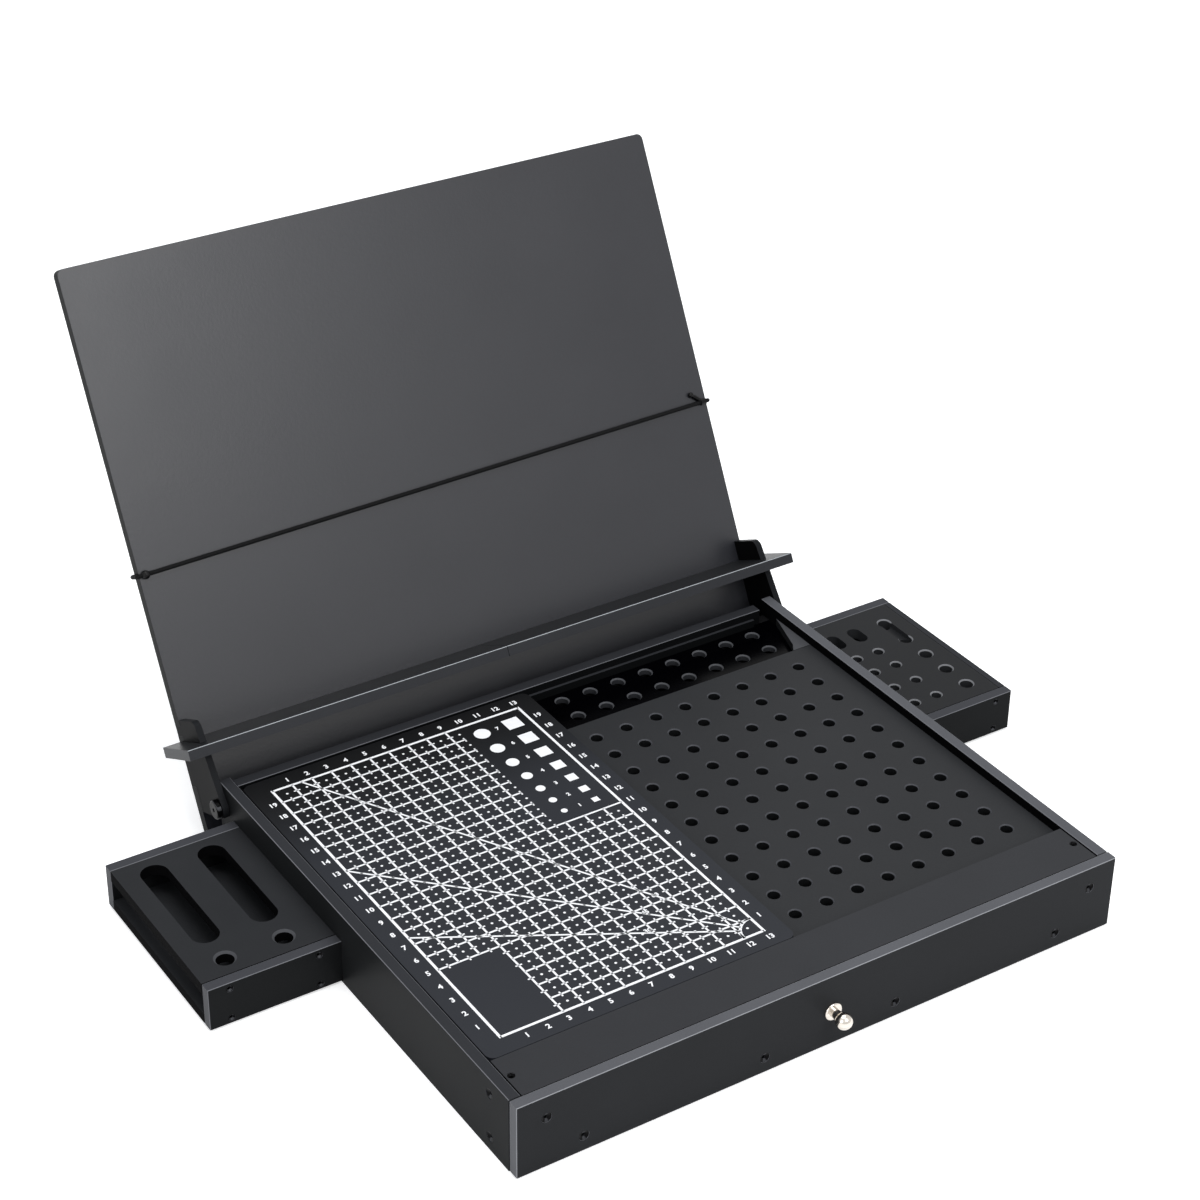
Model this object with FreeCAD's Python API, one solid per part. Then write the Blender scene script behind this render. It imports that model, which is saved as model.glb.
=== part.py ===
import FreeCAD, Part
import math
import os

# Hobby workstation organizer: a low black box with a cutting mat and a perforated plate on top,
# a drawer in front, a pull-out tool tray in each side and a tilting reading board behind.
# Millimetres. X runs to the right, Y to the rear, Z up. The origin is the middle of the
# underside, on the surface that the box stands on.

V = FreeCAD.Vector
X_AXIS = V(1, 0, 0)
Y_AXIS = V(0, 1, 0)
Z_AXIS = V(0, 0, 1)
LEFT = -1
RIGHT = 1

# ---------------------------------------------------------------- driving dimensions
# Box
base_width = 308.0
base_height = 37.0
panel_thickness = 5.5
bottom_thickness = 1.0
rear_panel_setback = 2.0
panel_edge_break = 0.5

# Clearances
seam_gap = 0.2
front_seam = 0.5
side_seam = 0.7
mat_seam = 0.4
slide_gap = 0.25
floor_clearance = 0.8

# Top surface
deck_strip_width = 24.1
deck_recess = 0.4
mat_width = 150.8
mat_length = 220.0
mat_thickness = 2.5
mat_corner_radius = 4.0
mat_recess = 0.5
mat_rear_gap = 2.0
plate_recess = 4.5
plate_thickness = 4.0
plate_rear_recess = 34.8
plate_hole_radius = 2.9
plate_pitch_x = 16.73
plate_pitch_y = 15.77
plate_first_column = 11.2
plate_first_row = 16.5
plate_last_margin = 10.0
hole_edge_break = 0.5

# Lower tier of holes behind the perforated plate, over the tray bay
tier_thickness = 3.0
tier_hole_radius = 3.1
tier_hole_sink = 0.6
tier_pitch_x = 16.0
tier_pitch_y = 14.6
tier_first_column = 17.0
tier_last_margin = 15.0
tier_row_margin = 6.5
beam_width = 12.0
ledger_width = 6.5
ledger_lip = 6.0
wedge_width = 10.2
wedge_tip_width = 7.2
wedge_tip_length = 4.5
wedge_length = 28.5

# Rear rail
rail_width = 5.5
rail_right_gap = 6.5
rail_lip_width = 1.5
rail_lip_height = 4.0
rail_lip_short = 4.0

# Drawer
drawer_wall_inset = 11.15
drawer_floor_height = 5.5
drawer_rear_gap = 3.5
drawer_wall_clearance = 0.5
knob_flange_radius = 4.3
knob_flange_thickness = 1.4
knob_neck_radius = 2.2
knob_ball_radius = 3.8
knob_ball_reach = 8.0

# Side trays
tray_reach = 63.0
tray_depth = 103.0
tray_height = 21.2
tray_top_thickness = 5.5
tray_floor_thickness = 5.0
tray_tail = 24.0
tray_side_gap = 0.5
tray_guide_width = 4.5
tray_end_thickness = 3.2
tray_stop_width = 4.0
tray_stop_height = 1.8

# Left tray: two long slots and two countersunk holes, measured from the box and the tray front
left_inner_column = 19.1
left_outer_column = 47.0
left_hole_row = 16.0
left_hole_radius = 4.1
left_hole_sink_radius = 5.1
left_slot_width = 13.0
left_slot_front = 29.0
left_slot_length = 63.0

# Right tray: holes in three columns, two short slots and one double slot
right_inner_column = 16.3
right_middle_column = 29.6
right_outer_column = 48.4
right_first_row = 16.8
right_row_pitch = 16.0
right_last_row = 63.0
right_small_radius = 2.5
right_large_radius = 3.3
right_hole_sink = 0.6
right_slot_row = 80.5
right_slot_length = 12.5
right_slot_width = 7.4
double_slot_front = 65.0
double_slot_rear = 82.7
double_slot_radius = 3.2
double_slot_groove_width = 6.2
double_slot_groove_depth = 2.4

# Reading stand, in its own frame: the pivot is the origin, Y is square to the board and
# Z runs up the board
board_tilt = 27.5
board_thickness = 5.5
board_above_ledge = 221.5
board_below_ledge = 44.0
board_corner_radius = 3.0
pivot_inset_y = 5.0
pivot_height = 26.0
pivot_to_board = 21.6
pivot_to_ledge = 31.0
ledge_depth = 30.0
ledge_thickness = 5.0
ledge_overhang = 9.8
ledge_groove = 2.0
ledge_seam = 0.3
ledge_fit = 0.05
arm_thickness = 3.2
arm_gap = 0.3
arm_pivot_radius = 5.0
arm_cheek_height = 10.0
arm_cheek_reach = 20.0
arm_cheek_radius = 4.5
arm_lower_drop = 34.0
arm_tab_low = 22.0
arm_tab_length = 12.0
arm_tab_fit = 0.05
cheek_tab_low = 2.5
cheek_tab_length = 4.5
pivot_pin_radius = 2.5
pivot_fit = 0.05
pivot_head_radius = 4.6
pivot_head_height = 2.2
stop_width = 22.0
stop_height = 7.0
stop_inset = 34.0
stop_gap = 0.3

# Elastic cord round the board
cord_radius = 1.0
cord_gap = 0.05
cord_height_left = 78.7
cord_height_right = 83.3
cord_edge_gap = 0.2
bead_radius = 2.1
bead_inset = 2.9
toggle_inset = 2.4
toggle_peg_radius = 1.05
toggle_head_radius = 1.4
toggle_sleeve_radius = 1.6
toggle_sleeve_length = 3.0
toggle_reach = 5.9
toggle_rise = 5.0

# Countersunk screws
screw_head_radius = 1.7
panel_screw_head_radius = 2.4
screw_head_depth = 1.1
screw_head_sink = 0.25
screw_head_rim = 0.25
screw_dish_depth = 0.65
screw_shank_radius = 1.0
screw_socket_radius = 0.75
screw_socket_depth = 1.2
screw_length = 12.0
screw_fit = 0.05
deck_screw_length = 10.0

# Screw places
front_screw_side_z = 26.0
front_screw_floor_spread = (34.0, 122.5)
side_screw_y = 20.7
side_screw_low_z = 6.8
side_screw_block_margin = 1.8
deck_screw_inset = 8.7
deck_screw_setback = 12.3
tray_screw_inner = 10.6
tray_screw_depth = 3.2
tray_screw_outer_left = 10.2
tray_screw_outer_right = 9.6
rear_screw_spread = 110.0

# ---------------------------------------------------------------- sizes that follow
half_width = base_width / 2.0
rear_band = mat_rear_gap + panel_thickness + rear_panel_setback
front_band = panel_thickness + front_seam + deck_strip_width + mat_seam
base_depth = front_band + mat_length + rear_band
half_depth = base_depth / 2.0
inner_half = half_width - panel_thickness
front_inner_y = -half_depth + panel_thickness
deck_front_y = front_inner_y + front_seam
deck_rear_y = deck_front_y + deck_strip_width
deck_top = base_height - deck_recess
deck_underside = deck_top - panel_thickness
plate_top = base_height - plate_recess
seat_level = plate_top - plate_thickness
tier_underside = seat_level - tier_thickness
mat_top = base_height - mat_recess
mat_underside = mat_top - mat_thickness

rear_panel_rear = half_depth - rear_panel_setback
rear_panel_front = rear_panel_rear - panel_thickness
guide_front = rear_panel_front - tray_guide_width
tray_rear_y = guide_front - tray_side_gap
tray_front_y = tray_rear_y - tray_depth
bay_wall_rear = tray_front_y - tray_side_gap
bay_wall_front = bay_wall_rear - panel_thickness

mat_left = -inner_half + side_seam
mat_right = mat_left + mat_width
mat_front = deck_rear_y + mat_seam
plate_left = mat_right + seam_gap
plate_right = inner_half - slide_gap
plate_front = deck_rear_y + mat_seam
plate_rear = rear_panel_front - plate_rear_recess

drawer_wall_outer = half_width - drawer_wall_inset
drawer_wall_inner = drawer_wall_outer - panel_thickness
drawer_rear = bay_wall_front - drawer_rear_gap
drawer_wall_top = seat_level - drawer_wall_clearance
drawer_back_top = tier_underside - drawer_wall_clearance
drawer_underside = bottom_thickness + seam_gap
corner_block_inner = drawer_wall_outer + slide_gap

tray_bottom = bottom_thickness + seam_gap
tray_top = tray_bottom + tray_height
opening_top = tray_top + slide_gap

arm_inner = half_width + arm_gap
arm_outer = arm_inner + arm_thickness
board_half = arm_outer
ledge_half = arm_outer + ledge_overhang
board_face = pivot_to_board
board_rear = board_face + board_thickness
ledge_top = pivot_to_ledge
ledge_bottom = ledge_top - ledge_thickness
board_top = ledge_top + board_above_ledge
board_bottom = ledge_top - board_below_ledge
pivot_y = half_depth - pivot_inset_y


# ---------------------------------------------------------------- shape helpers
def block(x0, x1, y0, y1, z0, z1):
    """A box between two corners."""
    return Part.makeBox(x1 - x0, y1 - y0, z1 - z0, V(x0, y0, z0))


def side_block(side, x_in, x_out, y0, y1, z0, z1):
    """A box on one side of the middle plane, given by its distances from that plane."""
    if side == LEFT:
        return block(-x_out, -x_in, y0, y1, z0, z1)
    return block(x_in, x_out, y0, y1, z0, z1)


def break_edges(shape, size, keep):
    """Round the straight edges whose middle point passes the test."""
    edges = [edge for edge in shape.Edges if keep(edge.CenterOfMass)]
    return shape.makeFillet(size, edges)


def prism(points, height, z0):
    """A closed outline in the XY plane, drawn upwards."""
    corners = [V(x, y, z0) for x, y in points]
    wire = Part.makePolygon(corners + corners[:1])
    return Part.Face(wire).extrude(V(0, 0, height))


def slot_cutter(x, y0, y1, radius, z0, z1):
    """A round-ended slot that runs along Y."""
    cutter = Part.makeCylinder(radius, z1 - z0, V(x, y0 + radius, z0))
    cutter = cutter.fuse(Part.makeCylinder(radius, z1 - z0, V(x, y1 - radius, z0)))
    middle = block(x - radius, x + radius, y0 + radius, y1 - radius, z0, z1)
    return cutter.fuse(middle).removeSplitter()


def sunk_hole(x, y, radius, sink, z0, z1):
    """A hole along Z with its upper rim cut back by a cone."""
    hole = Part.makeCylinder(radius, z1 - z0 + 2, V(x, y, z0 - 1))
    cone = Part.makeCone(radius, radius + sink, sink, V(x, y, z1 - sink))
    return hole.fuse(cone)


def cut_all(shape, cutters):
    """Take a list of cutters out of a shape in one step."""
    return shape.cut(Part.makeCompound(cutters)).removeSplitter()


def circle_hull(circles):
    """The outline that wraps round a ring of circles, each (y, z, radius), anticlockwise."""
    edges = []
    count = len(circles)
    tangents = []
    for index in range(count):
        y0, z0, r0 = circles[index]
        y1, z1, r1 = circles[(index + 1) % count]
        along = math.atan2(z1 - z0, y1 - y0)
        distance = math.hypot(y1 - y0, z1 - z0)
        normal = along - math.acos((r0 - r1) / distance)
        start = V(0, y0 + r0 * math.cos(normal), z0 + r0 * math.sin(normal))
        end = V(0, y1 + r1 * math.cos(normal), z1 + r1 * math.sin(normal))
        tangents.append((start, end, normal))
    for index in range(count):
        start, end, normal = tangents[index]
        edges.append(Part.LineSegment(start, end).toShape())
        y1, z1, r1 = circles[(index + 1) % count]
        next_start, _, next_normal = tangents[(index + 1) % count]
        turn = (next_normal - normal) % (2 * math.pi)
        half_way = normal + turn / 2.0
        middle = V(0, y1 + r1 * math.cos(half_way), z1 + r1 * math.sin(half_way))
        edges.append(Part.Arc(end, middle, next_start).toShape())
    return Part.Wire(edges)


# ---------------------------------------------------------------- screws
def screw(place, inward, length, head_radius=screw_head_radius):
    """A countersunk socket screw driven in at a point, with its dished head just below."""
    head = place + inward * screw_head_sink
    body = Part.makeCone(head_radius, screw_shank_radius, screw_head_depth, head, inward)
    shank_start = head + inward * screw_head_depth
    shank_length = length - screw_head_depth
    body = body.fuse(Part.makeCylinder(screw_shank_radius, shank_length, shank_start, inward))
    dish_radius = head_radius - screw_head_rim
    dish = Part.makeCone(dish_radius, screw_socket_radius, screw_dish_depth, head, inward)
    socket = Part.makeCylinder(screw_socket_radius, screw_socket_depth, head, inward)
    return body.cut(dish.fuse(socket))


def screw_hole(place, inward, length, head_radius=screw_head_radius):
    """The hole that such a screw sits in, with its clearance."""
    head = place + inward * screw_head_sink
    start = place - inward
    wide = head_radius + screw_fit
    narrow = screw_shank_radius + screw_fit
    mouth = Part.makeCylinder(wide, 1.0 + screw_head_sink, start, inward)
    cone = Part.makeCone(wide, narrow, screw_head_depth, head, inward)
    shank = Part.makeCylinder(narrow, length + screw_fit, head, inward)
    return mouth.fuse(cone).fuse(shank)


def screw_group(places):
    """Separate screws for a list of (head, inward, length) or those with a head radius."""
    return Part.makeCompound([screw(*place) for place in places])


def drill(shape, places):
    """Cut the screws' holes out of a shape."""
    return cut_all(shape, [screw_hole(*place) for place in places])


def front_screw_places():
    """Through the drawer front: one into each drawer wall and a row into the drawer floor."""
    wall_x = (drawer_wall_outer + drawer_wall_inner) / 2.0
    floor_z = drawer_floor_height + panel_thickness / 2.0
    places = []
    for side in (LEFT, RIGHT):
        heads = [V(side * wall_x, -half_depth, front_screw_side_z)]
        heads += [V(side * spread, -half_depth, floor_z) for spread in front_screw_floor_spread]
        places += [(head, Y_AXIS, screw_length, panel_screw_head_radius) for head in heads]
    return places


def side_screw_places(side):
    """Through a side panel into the corner block in front and the rear panel behind."""
    inward = V(-side, 0, 0)
    corner_y = -half_depth + side_screw_y
    rear_y = (rear_panel_front + rear_panel_rear) / 2.0
    block_length = panel_thickness + inner_half - corner_block_inner - 2 * screw_fit
    places = []
    for z in (side_screw_low_z, deck_underside - side_screw_block_margin):
        head = V(side * half_width, corner_y, z)
        places.append((head, inward, block_length, panel_screw_head_radius))
    head = V(side * half_width, rear_y, side_screw_low_z)
    places.append((head, inward, screw_length, panel_screw_head_radius))
    return places


def deck_screw_places():
    """Down through the ends of the deck strip into the corner blocks."""
    y = deck_front_y + deck_screw_setback
    x = half_width - deck_screw_inset
    down = V(0, 0, -1)
    return [(V(side * x, y, deck_top), down, deck_screw_length) for side in (LEFT, RIGHT)]


def tray_screw_places(side):
    """Through the front and rear plates of a tray into its top plate and its floor."""
    outer_inset = tray_screw_outer_left if side == LEFT else tray_screw_outer_right
    top_z = tray_top - tray_screw_depth
    floor_z = tray_bottom + tray_floor_thickness / 2.0
    places = []
    for reach in (tray_screw_inner, tray_reach - outer_inset):
        x = side * (half_width + reach)
        for z in (floor_z, top_z):
            places.append((V(x, tray_front_y, z), Y_AXIS, screw_length))
            places.append((V(x, tray_rear_y, z), -Y_AXIS, screw_length))
    return places


# ---------------------------------------------------------------- box
def side_panel(side):
    """A side of the box, with the opening that its tray slides through."""
    panel = side_block(side, inner_half, half_width, deck_front_y, half_depth, 0, base_height)

    def top_edge(middle):
        on_top = abs(middle.z - base_height) < 0.01
        return on_top and abs(middle.y - (deck_front_y + half_depth) / 2.0) < 1.0

    panel = break_edges(panel, panel_edge_break, top_edge)
    opening = side_block(
        side, inner_half - 1, half_width + 1,
        tray_front_y - slide_gap, tray_rear_y + slide_gap, bottom_thickness, opening_top,
    )
    pin_bore = Part.makeCylinder(
        pivot_pin_radius, panel_thickness + 2,
        V(side * (inner_half - 1), pivot_y, pivot_height), V(side, 0, 0),
    )
    return drill(panel.cut(opening).cut(pin_bore), side_screw_places(side))


def base_bottom():
    """The thin floor of the box, on which the drawer and the trays slide."""
    return block(-inner_half, inner_half, deck_front_y, rear_panel_front, 0, bottom_thickness)


def rear_panel():
    """The back of the box, with bores for the screws and the pivot pins in its ends."""
    panel = block(-inner_half, inner_half, rear_panel_front, rear_panel_rear, 0, seat_level)
    cutters = []
    for side in (LEFT, RIGHT):
        for place in side_screw_places(side)[-1:]:
            cutters.append(screw_hole(*place))
    for side in (LEFT, RIGHT):
        start = V(side * inner_half, pivot_y, pivot_height)
        cutters.append(Part.makeCylinder(pivot_pin_radius, pin_anchor(), start, V(-side, 0, 0)))
    for head, inward, length in rear_stop_screw_places():
        cutters.append(screw_hole(head, inward, length))
    return cut_all(panel, cutters)


def pin_anchor():
    """How far a pivot pin goes into the rear panel."""
    return 2 * panel_thickness


def rear_rail():
    """The stepped bar on top of the rear panel; its lip carries on only beside the mat."""
    rail_front = rear_panel_front
    bar = block(
        -inner_half + seam_gap, inner_half - rail_right_gap,
        rail_front, rail_front + rail_width, seat_level, mat_top,
    )

    def front_top(middle):
        return abs(middle.z - mat_top) < 0.01 and abs(middle.y - rail_front) < 0.01

    bar = break_edges(bar, panel_edge_break, front_top)
    lip = block(
        plate_left, inner_half - rail_right_gap - rail_lip_short,
        rail_front - rail_lip_width, rail_front, seat_level, seat_level + rail_lip_height,
    )
    return bar.fuse(lip).removeSplitter()


def corner_block(side):
    """The upright block in a front corner, under the end of the deck strip."""
    shape = side_block(
        side, corner_block_inner, inner_half,
        deck_front_y, deck_rear_y, bottom_thickness, deck_underside,
    )
    places = side_screw_places(side)[:2] + deck_screw_places()
    return drill(shape, places)


def drawer_guide(side):
    """The bar beside the drawer; the mat support or the perforated plate rests on its top."""
    return side_block(
        side, corner_block_inner, inner_half,
        deck_rear_y, bay_wall_front, bottom_thickness, seat_level,
    )


def deck_strip():
    """The strip across the top behind the drawer front."""
    strip = block(
        -inner_half + side_seam, inner_half - side_seam,
        deck_front_y, deck_rear_y, deck_underside, deck_top,
    )
    return drill(strip, deck_screw_places())


def deck_ledger():
    """The stepped bar under the deck strip that carries the front edges behind it."""
    half = drawer_wall_inner - slide_gap
    bar = block(-half, half, deck_rear_y - ledger_width, deck_rear_y, tier_underside, deck_underside)
    lip = block(-half, half, deck_rear_y, deck_rear_y + ledger_lip, tier_underside, seat_level)
    return bar.fuse(lip).removeSplitter()


def centre_beam():
    """The bar under the seam between the mat support and the perforated plate."""
    x0 = mat_right - beam_width / 2.0
    return block(
        x0, x0 + beam_width,
        deck_rear_y + ledger_lip, bay_wall_front, tier_underside, seat_level,
    )


def bay_wall():
    """The wall between the drawer and the trays."""
    return block(
        -inner_half, inner_half, bay_wall_front, bay_wall_rear, bottom_thickness, tier_underside,
    )


def tray_guide():
    """The bar along the rear panel that the trays run beside and the lower tier rests on."""
    return block(
        -inner_half, inner_half, guide_front, rear_panel_front, bottom_thickness, tier_underside,
    )


def mat_support():
    """The board under the cutting mat."""
    return block(
        -inner_half + seam_gap, mat_right,
        deck_rear_y, rear_panel_front, seat_level, mat_underside,
    )


def cutting_mat():
    """The soft mat, with rounded corners."""
    mat = block(mat_left, mat_right, mat_front, mat_front + mat_length, mat_underside, mat_top)
    upright = [edge for edge in mat.Edges if abs(edge.tangentAt(0).z) > 0.5]
    return mat.makeFillet(mat_corner_radius, upright)


def perforated_plate():
    """The plate with a square grid of holes, a little below the top of the box."""
    plate = block(plate_left, plate_right, plate_front, plate_rear, seat_level, plate_top)
    across = plate_right - plate_left - plate_first_column - plate_last_margin
    along = plate_rear - plate_front - plate_first_row - plate_last_margin
    columns = int(across / plate_pitch_x) + 1
    rows = int(along / plate_pitch_y) + 1
    holes = []
    for column in range(columns):
        for row in range(rows):
            x = plate_left + plate_first_column + column * plate_pitch_x
            y = plate_front + plate_first_row + row * plate_pitch_y
            holes.append(sunk_hole(x, y, plate_hole_radius, hole_edge_break, seat_level, plate_top))
    return cut_all(plate, holes)


def tool_tier():
    """The lower plate over the tray bay, with two rows of holes behind the perforated plate."""
    plate = block(
        -inner_half + seam_gap, inner_half - seam_gap,
        bay_wall_front, rear_panel_front, tier_underside, seat_level,
    )
    rear_row = rear_panel_front - rail_lip_width - tier_row_margin
    across = plate_right - plate_left - tier_first_column - tier_last_margin
    columns = int(across / tier_pitch_x) + 1
    holes = []
    for column in range(columns):
        x = plate_left + tier_first_column + column * tier_pitch_x
        for row in range(2):
            y = rear_row - row * tier_pitch_y
            holes.append(
                sunk_hole(x, y, tier_hole_radius, tier_hole_sink, tier_underside, seat_level)
            )
    return cut_all(plate, holes)


def plate_wedge():
    """The tapered block at the right, behind the perforated plate."""
    front = plate_rear + slide_gap
    outer = inner_half - slide_gap
    outline = [
        (outer, front),
        (outer, front + wedge_length),
        (outer - wedge_tip_width, front + wedge_tip_length),
        (outer - wedge_width, front),
    ]
    return prism(outline, plate_thickness, seat_level)


# ---------------------------------------------------------------- drawer
def drawer_front():
    """The full-width front of the drawer, with its top and side edges broken."""
    front = block(
        -half_width, half_width, -half_depth, front_inner_y, floor_clearance, base_height,
    )

    def outer_edge(middle):
        along_depth = abs(middle.y + half_depth - panel_thickness / 2.0) < 0.1
        return not along_depth and middle.z > floor_clearance + 0.01

    front = break_edges(front, panel_edge_break, outer_edge)
    bore = Part.makeCylinder(
        screw_shank_radius + screw_fit, panel_thickness + 2,
        V(0, -half_depth - 1, base_height / 2.0), Y_AXIS,
    )
    return drill(front.cut(bore), front_screw_places())


def drawer_wall(side):
    """A side wall of the drawer."""
    wall = side_block(
        side, drawer_wall_inner, drawer_wall_outer,
        front_inner_y, drawer_rear, drawer_underside, drawer_wall_top,
    )
    return drill(wall, front_screw_places())


def drawer_floor():
    """The floor of the drawer, between its walls."""
    floor = block(
        -drawer_wall_inner, drawer_wall_inner, front_inner_y, drawer_rear - panel_thickness,
        drawer_floor_height, drawer_floor_height + panel_thickness,
    )
    return drill(floor, front_screw_places())


def drawer_back():
    """The back of the drawer, low enough to pass under the ledger and the beam."""
    return block(
        -drawer_wall_inner, drawer_wall_inner, drawer_rear - panel_thickness, drawer_rear,
        drawer_underside, drawer_back_top,
    )


def drawer_knob():
    """The turned metal knob: flange, neck and ball, tapped for its screw."""
    neck_length = knob_ball_reach
    base = V(0, -half_depth, base_height / 2.0)
    out = V(0, -1, 0)
    knob = Part.makeCylinder(knob_flange_radius, knob_flange_thickness, base, out)
    rim = [edge for edge in knob.Edges if edge.CenterOfMass.y < -half_depth - 0.5]
    knob = knob.makeFillet(knob_flange_thickness * 0.5, rim[:1])
    knob = knob.fuse(Part.makeCylinder(knob_neck_radius, neck_length, base, out))
    ball = Part.makeSphere(knob_ball_radius, base + out * knob_ball_reach)
    thread = Part.makeCylinder(screw_shank_radius + screw_fit, knob_ball_reach, base, out)
    return knob.fuse(ball).cut(thread)


def knob_screw():
    """The pan-head screw that holds the knob from inside the drawer."""
    start = V(0, front_inner_y, base_height / 2.0)
    out = V(0, -1, 0)
    shank = panel_thickness + knob_ball_reach - 1.0
    head = Part.makeCylinder(screw_head_radius, screw_head_depth, start, Y_AXIS)
    return head.fuse(Part.makeCylinder(screw_shank_radius, shank, start, out))


# ---------------------------------------------------------------- side trays
def tray_span(side, x_in, x_out, y0, y1, z0, z1):
    """A box of a tray, from distances beyond the side of the box; inside it they are negative."""
    return side_block(side, half_width + x_in, half_width + x_out, y0, y1, z0, z1)


def tray_inner_reach():
    """How far a tray's inner end lies inside the box, seen from its side."""
    return panel_thickness + tray_tail


def tray_plate(side, at_front):
    """The front or rear plate of a tray."""
    if at_front:
        y0 = tray_front_y
    else:
        y0 = tray_rear_y - panel_thickness
    plate = tray_span(
        side, -tray_inner_reach(), tray_reach, y0, y0 + panel_thickness, tray_bottom, tray_top,
    )

    def seen_edge(middle):
        at_end = abs(abs(middle.x) - half_width - tray_reach) < 0.01
        upright = at_end and abs(middle.z - (tray_bottom + tray_top) / 2.0) < 0.1
        along_top = not at_end and abs(middle.z - tray_top) < 0.01
        along_depth = abs(middle.y - y0 - panel_thickness / 2.0) < 0.1
        return upright or (along_top and not along_depth)

    plate = break_edges(plate, panel_edge_break, seen_edge)
    return drill(plate, tray_screw_places(side))


def tray_panel(side, z0, z1):
    """A level plate of a tray, between its front and rear plates."""
    outer = tray_reach
    if side == RIGHT:
        outer = tray_reach - tray_end_thickness - seam_gap
    y0 = tray_front_y + panel_thickness + seam_gap
    y1 = tray_rear_y - panel_thickness - seam_gap
    panel = tray_span(side, -tray_inner_reach(), outer, y0, y1, z0, z1)
    return drill(panel, tray_screw_places(side))


def left_tray_top():
    """The left tray's top plate: two countersunk holes and two long slots for hand tools."""
    z0 = tray_top - tray_top_thickness
    cutters = []
    for column in (left_inner_column, left_outer_column):
        x = -half_width - column
        sink = left_hole_sink_radius - left_hole_radius
        cutters.append(
            sunk_hole(x, tray_front_y + left_hole_row, left_hole_radius, sink, z0, tray_top)
        )
        y0 = tray_front_y + left_slot_front
        cutters.append(
            slot_cutter(x, y0, y0 + left_slot_length, left_slot_width / 2.0, z0 - 1, tray_top + 1)
        )
    return cut_all(tray_panel(LEFT, z0, tray_top), cutters)


def right_tray_top():
    """The right tray's top plate: holes for drivers, two short slots and a double slot."""
    z0 = tray_top - tray_top_thickness
    cutters = []
    even_rows = [right_first_row + index * right_row_pitch for index in range(3)]
    for column in (right_inner_column, right_middle_column, right_outer_column):
        x = half_width + column
        last = column == right_outer_column
        radius = right_large_radius if last else right_small_radius
        rows = even_rows if last else even_rows + [right_last_row]
        for row in rows:
            cutters.append(
                sunk_hole(x, tray_front_y + row, radius, right_hole_sink, z0, tray_top)
            )
        if not last:
            y0 = tray_front_y + right_slot_row - right_slot_length / 2.0
            cutters.append(
                slot_cutter(
                    x, y0, y0 + right_slot_length, right_slot_width / 2.0, z0 - 1, tray_top + 1
                )
            )
    x = half_width + right_outer_column
    front = tray_front_y + double_slot_front
    rear = tray_front_y + double_slot_rear
    for y in (front, rear):
        cutters.append(
            sunk_hole(x, y, double_slot_radius, right_hole_sink, z0, tray_top)
        )
    half_groove = double_slot_groove_width / 2.0
    groove_floor = tray_top - double_slot_groove_depth
    cutters.append(block(x - half_groove, x + half_groove, front, rear, groove_floor, tray_top + 1))
    return cut_all(tray_panel(RIGHT, z0, tray_top), cutters)


def tray_floor(side):
    """The floor of a tray."""
    return tray_panel(side, tray_bottom, tray_bottom + tray_floor_thickness)


def right_tray_end():
    """The thin plate that closes the right tray's outer end."""
    return tray_span(
        RIGHT, tray_reach - tray_end_thickness, tray_reach,
        tray_front_y + panel_thickness + seam_gap, tray_rear_y - panel_thickness - seam_gap,
        tray_bottom, tray_top,
    )


def tray_stop(side):
    """The strip on a tray that meets the inside of the box when the tray is out."""
    return side_block(
        side, inner_half - slide_gap - tray_stop_width, inner_half - slide_gap,
        tray_front_y, tray_rear_y, tray_top, tray_top + tray_stop_height,
    )


# ---------------------------------------------------------------- reading stand
def placed(shape):
    """Take a shape from the stand's frame to its place on the box."""
    shape = shape.copy()
    shape.rotate(V(0, 0, 0), X_AXIS, -board_tilt)
    shape.translate(V(0, pivot_y, pivot_height))
    return shape


def arm_tabs(side, fit):
    """The tabs of an arm and of its cheek in the end of the board, larger by the fit."""
    arm_low = ledge_top - arm_tab_low
    cheek_low = ledge_top + cheek_tab_low
    return [
        side_block(
            side, arm_inner - fit, arm_outer, board_face - arm_thickness, board_rear,
            low - fit, low + length + fit,
        )
        for low, length in ((arm_low, arm_tab_length), (cheek_low, cheek_tab_length))
    ]


def reading_board():
    """The board, with a groove along its face for the ledge and notches for the tabs."""
    board = block(-board_half, board_half, board_face, board_rear, board_bottom, board_top)

    def top_corner(middle):
        return abs(abs(middle.x) - board_half) < 0.01 and abs(middle.z - board_top) < 0.01

    corners = [edge for edge in board.Edges if top_corner(edge.CenterOfMass)]
    board = board.makeFillet(board_corner_radius, corners)
    groove = block(
        -board_half - 1, board_half + 1, board_face - 1, board_face + ledge_groove,
        ledge_bottom - ledge_fit, ledge_top + ledge_fit,
    )
    notches = arm_tabs(LEFT, arm_tab_fit) + arm_tabs(RIGHT, arm_tab_fit)
    return cut_all(board, [groove] + notches)


def arm_plate(side):
    """The outline that an arm and its cheek are cut from: pivot end, cheek and board face."""
    cheek_y = board_face - arm_cheek_reach + arm_cheek_radius
    cheek_z = ledge_top + arm_cheek_height - arm_cheek_radius
    low_z = ledge_top - arm_lower_drop + arm_cheek_radius
    outline = circle_hull([
        (0.0, 0.0, arm_pivot_radius),
        (board_face, low_z, arm_cheek_radius),
        (board_face, cheek_z, arm_cheek_radius),
        (cheek_y, cheek_z, arm_cheek_radius),
    ])
    plate = Part.Face(outline).extrude(V(side * arm_thickness, 0, 0))
    plate.translate(V(side * arm_inner, 0, 0))
    behind = side_block(
        side, arm_inner - 1, arm_outer + 1, board_face, board_rear + arm_cheek_radius,
        board_bottom, board_top,
    )
    return plate.cut(behind)


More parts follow.
